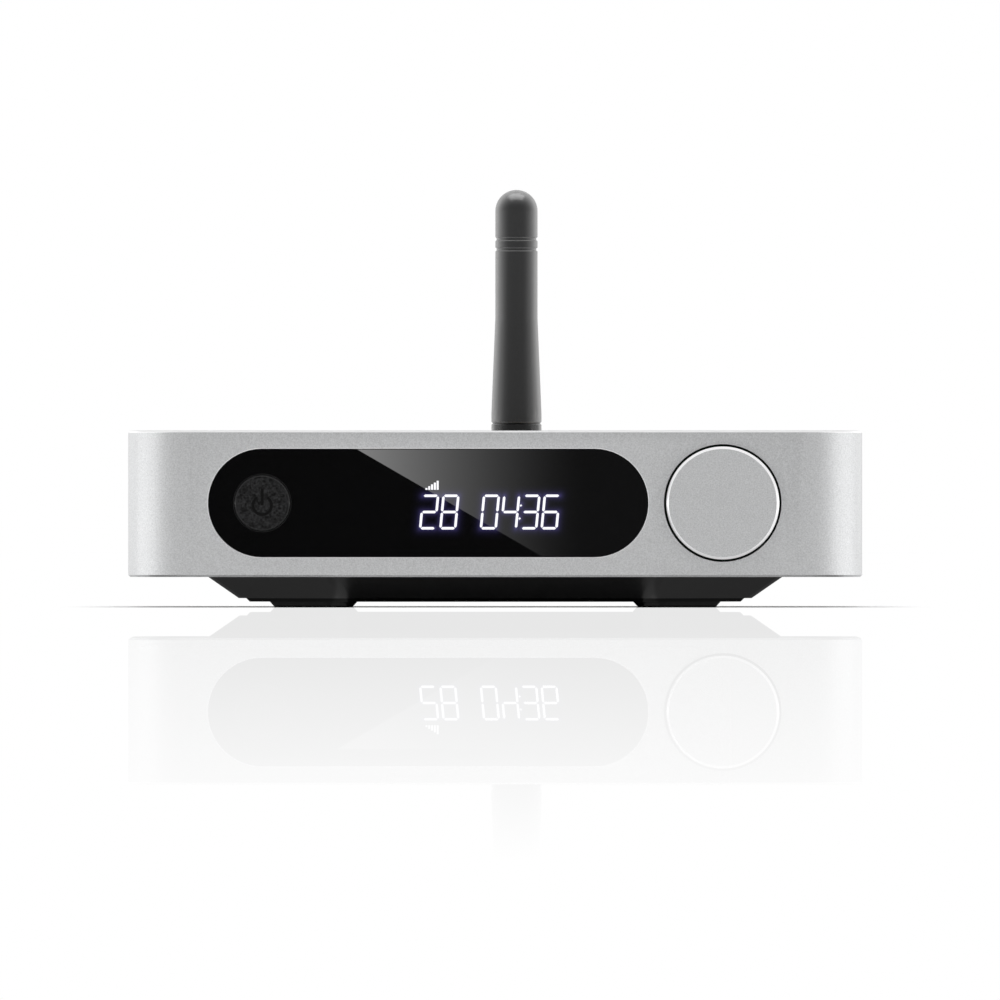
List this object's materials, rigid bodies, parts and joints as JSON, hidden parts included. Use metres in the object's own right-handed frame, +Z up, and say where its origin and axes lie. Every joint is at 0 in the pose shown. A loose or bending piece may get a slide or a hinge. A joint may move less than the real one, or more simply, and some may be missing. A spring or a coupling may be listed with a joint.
{
  "type": "network music streamer",
  "caption": "Compact silver network music streamer on a black plinth: black display window with a power button, turn-and-push knob, rear sockets and a folding aerial.",
  "frame": {"origin": "on the table, below the middle of the whole object's box", "axes": "+X to the right seen from the front, +Y from the front to the rear, +Z up"},
  "size_m": [0.147, 0.158, 0.0845],
  "materials": {
    "case_aluminium": "fine bead-blasted silver anodising",
    "knob_aluminium": "fine bead-blasted silver anodising",
    "base_black": "matte black, finely textured",
    "foot_rubber": "matte black rubber",
    "black_screw_steel": "black oxide",
    "inner_screw_steel": "zinc plated",
    "panel_black": "satin black paint",
    "window_black": "polished black tinted acrylic",
    "tape_black": "adhesive foam tape",
    "frame_white": "moulded white plastic",
    "display_glass": "display glass",
    "board_green": "green solder resist",
    "plated_steel": "tin-plated sheet",
    "encoder_plastic": "moulded plastic",
    "shaft_steel": "turned steel",
    "rotor_brass": "stamped brass",
    "button_black": "matte black, finely textured",
    "switch_black": "moulded plastic",
    "chip_black": "moulded resin",
    "heat_sink_black": "black anodised",
    "capacitor_sleeve": "blue-black sleeve",
    "ribbon_white": "flat cable film",
    "contact_gold": "gold plated",
    "socket_black": "moulded black plastic",
    "shutter_black": "moulded black plastic",
    "insulator_orange": "moulded plastic",
    "insulator_white": "moulded plastic",
    "insulator_red": "moulded plastic",
    "lead_black": "thin coaxial lead",
    "aerial_black": "satin moulded dark grey plastic",
    "element_copper": "copper"
  },
  "bodies": {
    "chassis": {"case_shell": "case_aluminium", "base_pan": "base_black", "foot_front_left": "foot_rubber", "foot_front_right": "foot_rubber", "foot_rear_left": "foot_rubber", "foot_rear_right": "foot_rubber", "case_screws": "black_screw_steel", "panel_screws": "black_screw_steel", "front_board_screws": "inner_screw_steel", "main_board_screws": "inner_screw_steel", "rear_panel": "panel_black", "display_window": "window_black", "window_tape": "tape_black", "display_frame": "frame_white", "usb_tongue": "frame_white", "ribbon_connectors": "frame_white", "display_glass": "display_glass", "front_board": "board_green", "main_board": "board_green", "encoder_housing": "plated_steel", "lan_socket": "plated_steel", "usb_socket": "plated_steel", "wireless_module": "plated_steel", "crystals": "plated_steel", "dc_pin": "shaft_steel", "push_switch": "switch_black", "processor": "chip_black", "audio_chips": "chip_black", "inductors": "chip_black", "heat_sink": "heat_sink_black", "capacitors": "capacitor_sleeve", "ribbon_cable": "ribbon_white", "lan_contacts": "contact_gold", "phono_barrels": "contact_gold", "aerial_socket": "contact_gold", "aerial_socket_washer": "contact_gold", "aerial_socket_nut": "contact_gold", "aerial_coupling_nut": "contact_gold", "aerial_lead_plug": "contact_gold", "optical_socket": "socket_black", "phono_blocks": "socket_black", "dc_socket": "socket_black", "coaxial_insulator": "insulator_orange", "left_insulator": "insulator_white", "right_insulator": "insulator_red", "aerial_lead": "lead_black"},
    "knob_push": {"encoder_plunger": "encoder_plastic"},
    "knob": {"encoder_shaft": "shaft_steel", "encoder_rotor": "rotor_brass", "volume_knob": "knob_aluminium"},
    "power_button": {"power_button": "button_black", "push_switch_stem": "switch_black"},
    "aerial_swivel": {"aerial_barrel": "aerial_black"},
    "aerial_whip": {"aerial_whip": "aerial_black", "aerial_hinge_pin": "shaft_steel", "aerial_element": "element_copper"},
    "optical_shutter": {"optical_shutter": "shutter_black"}
  },
  "joints": [
    {"name": "knob_push", "type": "slide", "parent": "chassis", "child": "knob_push", "axis": [0, 1, 0], "range_m": [0, 0.0005], "stiffness_N_per_m": 3000, "springref_m": -0.0001},
    {"name": "knob_turn", "type": "hinge", "parent": "knob_push", "child": "knob", "pos_m": [0.0455, -0.074, 0.0209], "axis": [0, 1, 0], "continuous": true},
    {"name": "power_press", "type": "slide", "parent": "chassis", "child": "power_button", "axis": [0, 1, 0], "range_m": [0, 0.0006], "stiffness_N_per_m": 1200, "springref_m": -0.0002},
    {"name": "aerial_turn", "type": "hinge", "parent": "chassis", "child": "aerial_swivel", "pos_m": [0.0043, 0.0496, 0.025], "axis": [0, 1, 0], "range_deg": [-90, 90]},
    {"name": "aerial_tilt", "type": "hinge", "parent": "aerial_swivel", "child": "aerial_whip", "pos_m": [0.0043, 0.0739, 0.025], "axis": [-1, 0, 0], "range_deg": [0, 90]},
    {"name": "optical_flap", "type": "hinge", "parent": "chassis", "child": "optical_shutter", "pos_m": [0.0162, 0.049, 0.0198], "axis": [-1, 0, 0], "range_deg": [0, 80], "stiffness_Nm_per_rad": 0.0001, "springref_deg": -17.19}
  ]
}
